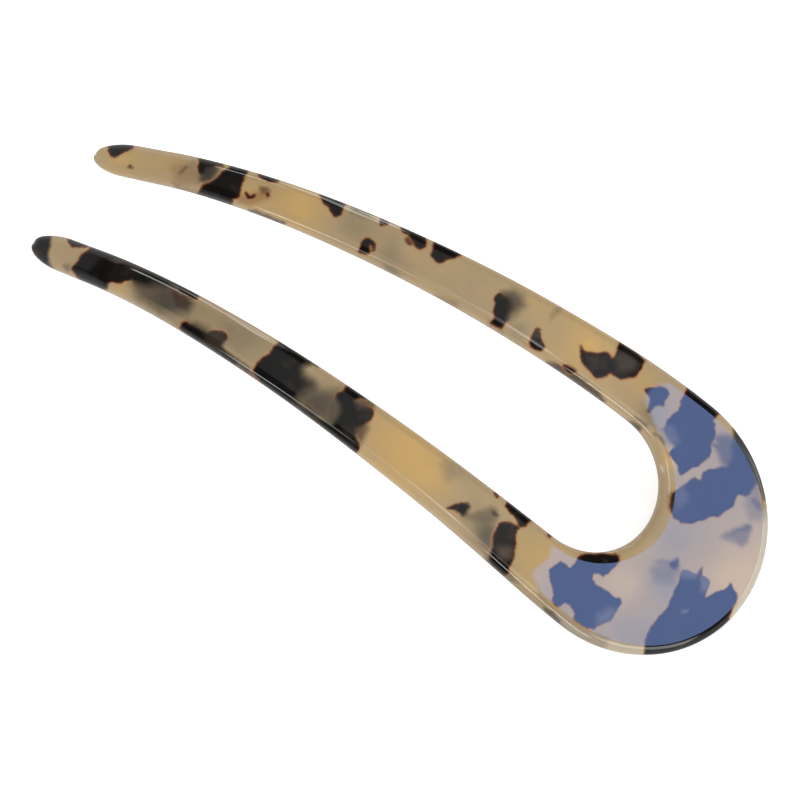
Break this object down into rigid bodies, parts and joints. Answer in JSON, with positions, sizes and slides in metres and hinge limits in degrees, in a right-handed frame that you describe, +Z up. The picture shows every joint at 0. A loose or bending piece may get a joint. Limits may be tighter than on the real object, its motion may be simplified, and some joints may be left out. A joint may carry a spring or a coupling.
{
  "type": "french hair pin",
  "caption": "U-shaped hair pin cut from flat sheet, with a broad rounded crown and slender tapering legs, bent in one arch along its length.",
  "frame": {"origin": "on the floor under the middle of the arch: the centre of the underside of the box round the pin as it lies by itself", "axes": "+X from the crown towards the tips, +Y across the pin, +Z up, with the hollow side of the bend down; it rests on the end of the crown and on both tips"},
  "size_m": [0.1112, 0.0364, 0.0257],
  "materials": {
    "acetate": "high polish, cream and amber tortoiseshell with near-black patches"
  },
  "bodies": {
    "root": {"hair_pin": "acetate"}
  },
  "joints": []
}
